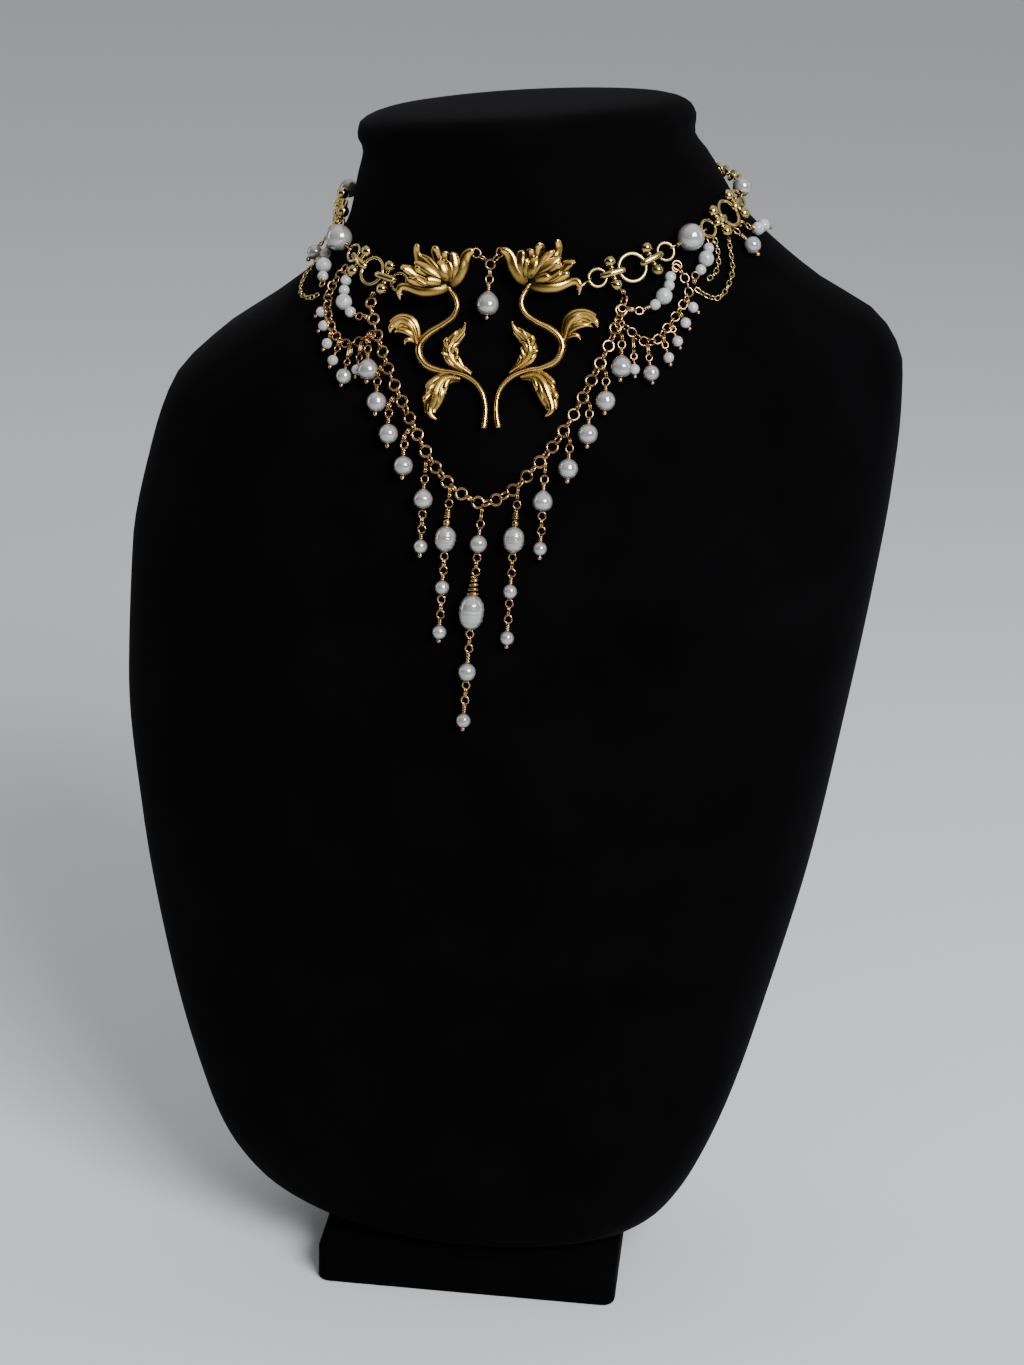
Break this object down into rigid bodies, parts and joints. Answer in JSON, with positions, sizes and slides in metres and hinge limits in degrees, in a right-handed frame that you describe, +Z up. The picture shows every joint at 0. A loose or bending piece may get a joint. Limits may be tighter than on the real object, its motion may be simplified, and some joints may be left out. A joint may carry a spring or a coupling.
{
  "type": "choker on neck bust",
  "caption": "Floral choker of stamped flowers, rings, ball links and chain with pearl drops, worn by a free-standing velvet neck bust on a flat foot.",
  "frame": {"origin": "centre of the flat underside of the foot", "axes": "+Z up, the front of the bust faces -Y, +X is to the right of someone looking at the front"},
  "size_m": [0.227, 0.1299, 0.3651],
  "materials": {
    "velvet": "black velvet with a soft sheen",
    "antique_brass": "antique gold, bright on the ridges and dark in the hollows",
    "pale_gold": "polished pale gold",
    "rose_gold": "polished warm gold wire",
    "nacre": "grey-white pearl lustre",
    "milk_glass": "glossy milky white"
  },
  "bodies": {
    "root": {"back_chain_left": "pale_gold", "back_chain_right": "pale_gold", "bead_strand_left_1": "milk_glass", "bead_strand_left_2": "milk_glass", "bead_strand_right_1": "milk_glass", "bead_strand_right_2": "milk_glass", "bead_strand_right_3": "milk_glass", "bead_swag_left": "rose_gold", "bead_swag_right": "rose_gold", "bust_foot": "velvet", "bust_form": "velvet", "cable_pearl_left": "nacre", "cable_pearl_right": "nacre", "cable_swag_left": "rose_gold", "cable_swag_right_1": "rose_gold", "cable_swag_right_2": "rose_gold", "centre_drop": "nacre", "centre_links": "rose_gold", "clasp": "pale_gold", "connector_a_left": "pale_gold", "connector_a_right": "pale_gold", "connector_b_left": "pale_gold", "connector_b_right": "pale_gold", "drop_centre": "nacre", "drop_inner_left": "nacre", "drop_inner_right": "nacre", "drop_outer_left": "nacre", "drop_outer_right": "nacre", "flower_left": "antique_brass", "flower_right": "antique_brass", "inner_ring_left": "pale_gold", "inner_ring_right": "pale_gold", "jump_ring_left": "rose_gold", "jump_ring_right": "rose_gold", "large_ring_left": "pale_gold", "large_ring_right": "pale_gold", "neck_pearl_left": "nacre", "neck_pearl_right": "nacre", "outer_ring_left": "pale_gold", "outer_ring_right": "pale_gold", "short_drop_left_1": "nacre", "short_drop_left_2": "nacre", "short_drop_left_3": "nacre", "short_drop_left_4": "nacre", "short_drop_right_1": "nacre", "short_drop_right_2": "nacre", "short_drop_right_3": "nacre", "short_drop_right_4": "nacre", "side_chain_left": "pale_gold", "side_chain_right": "pale_gold", "side_pearl_left": "nacre", "side_pearl_right": "nacre", "v_chain_left": "rose_gold", "v_chain_right": "rose_gold"}
  },
  "joints": []
}
